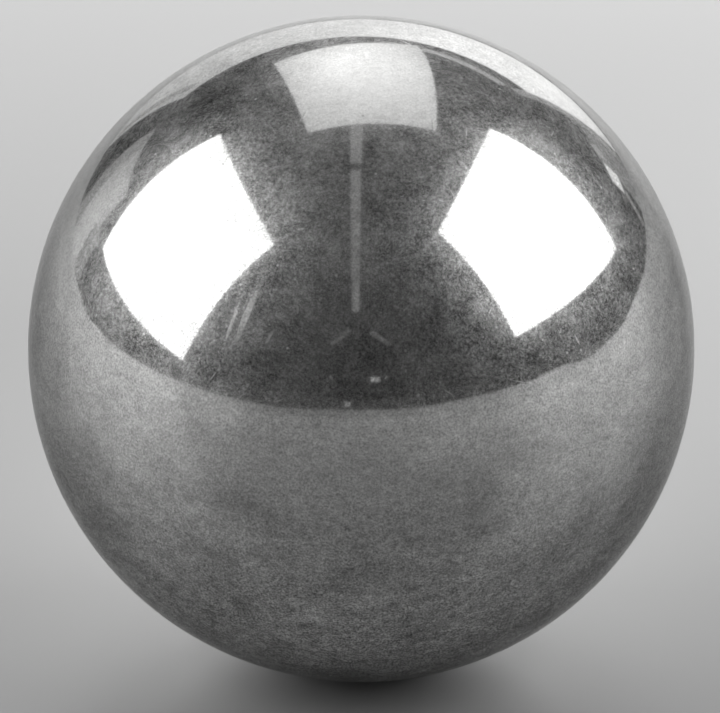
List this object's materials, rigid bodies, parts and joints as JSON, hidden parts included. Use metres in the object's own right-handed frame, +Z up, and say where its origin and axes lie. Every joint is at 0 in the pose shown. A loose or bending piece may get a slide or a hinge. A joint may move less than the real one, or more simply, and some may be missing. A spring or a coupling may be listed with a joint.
{
  "type": "steel ball",
  "caption": "Solid polished steel ball, a plain true sphere, for use as a loose bearing ball, weight, roller or bench part.",
  "frame": {"origin": "centre of the ball", "axes": "+Z up; the ball is the same about every axis"},
  "size_m": [0.0254, 0.0254, 0.0254],
  "materials": {
    "polished_steel": "polished"
  },
  "bodies": {
    "root": {"ball": "polished_steel"}
  },
  "joints": []
}
